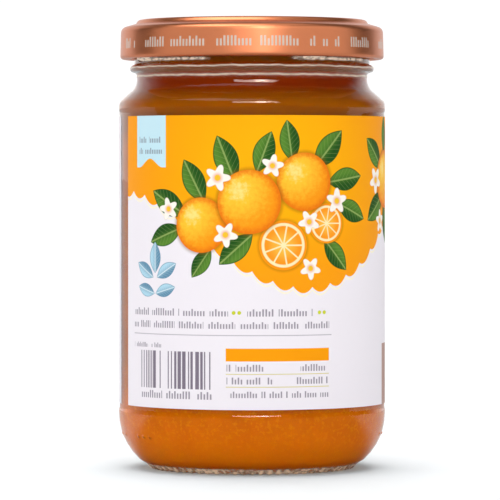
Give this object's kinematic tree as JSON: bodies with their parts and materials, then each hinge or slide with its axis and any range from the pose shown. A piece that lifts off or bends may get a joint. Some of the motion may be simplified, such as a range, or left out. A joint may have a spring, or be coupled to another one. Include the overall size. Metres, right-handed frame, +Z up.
{
  "type": "jam jar",
  "caption": "Sealed glass jar of orange jam with a copper-coloured twist-off lid and a wrap-around printed paper label; stands on its foot ring.",
  "frame": {"origin": "centre of the bearing ring that the jar stands on", "axes": "+Z up along the jar's axis; -Y towards the label's printed back panel, with the label's two ends nearly meeting on the left of it"},
  "size_m": [0.0686, 0.0686, 0.115],
  "materials": {
    "glass": "clear polished flint glass",
    "lid": "satin copper lacquer on pressed steel",
    "label": "smooth coated paper, marigold over white",
    "jam": "wet, slightly cloudy orange jam with fine pulp"
  },
  "bodies": {
    "root": {"jar": "glass", "lid": "lid", "label": "label", "jam": "jam"}
  },
  "joints": []
}
